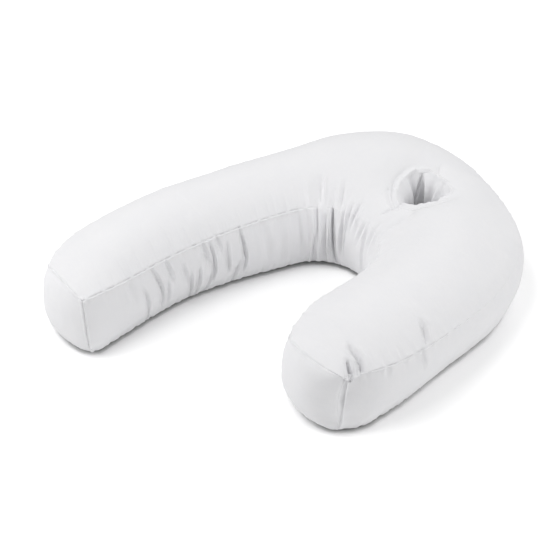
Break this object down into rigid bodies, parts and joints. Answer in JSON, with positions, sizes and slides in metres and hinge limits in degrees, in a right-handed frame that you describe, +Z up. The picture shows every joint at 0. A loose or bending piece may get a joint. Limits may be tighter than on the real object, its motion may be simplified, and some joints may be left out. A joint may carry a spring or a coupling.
{
  "type": "side-sleeper neck pillow",
  "caption": "Cane-shaped filled neck pillow with a long arm, a short arm and a broad bend with an ear hole through it, for sleeping on one side.",
  "frame": {"origin": "middle of the pillow's length and width, on the surface that it lies on", "axes": "+Z up from that surface, +Y along the arms towards the bend, +X from the long arm towards the short arm"},
  "size_m": [0.4792, 0.6442, 0.1385],
  "materials": {
    "cotton": "matte white woven cotton"
  },
  "bodies": {
    "root": {"pillow": "cotton"}
  },
  "joints": []
}
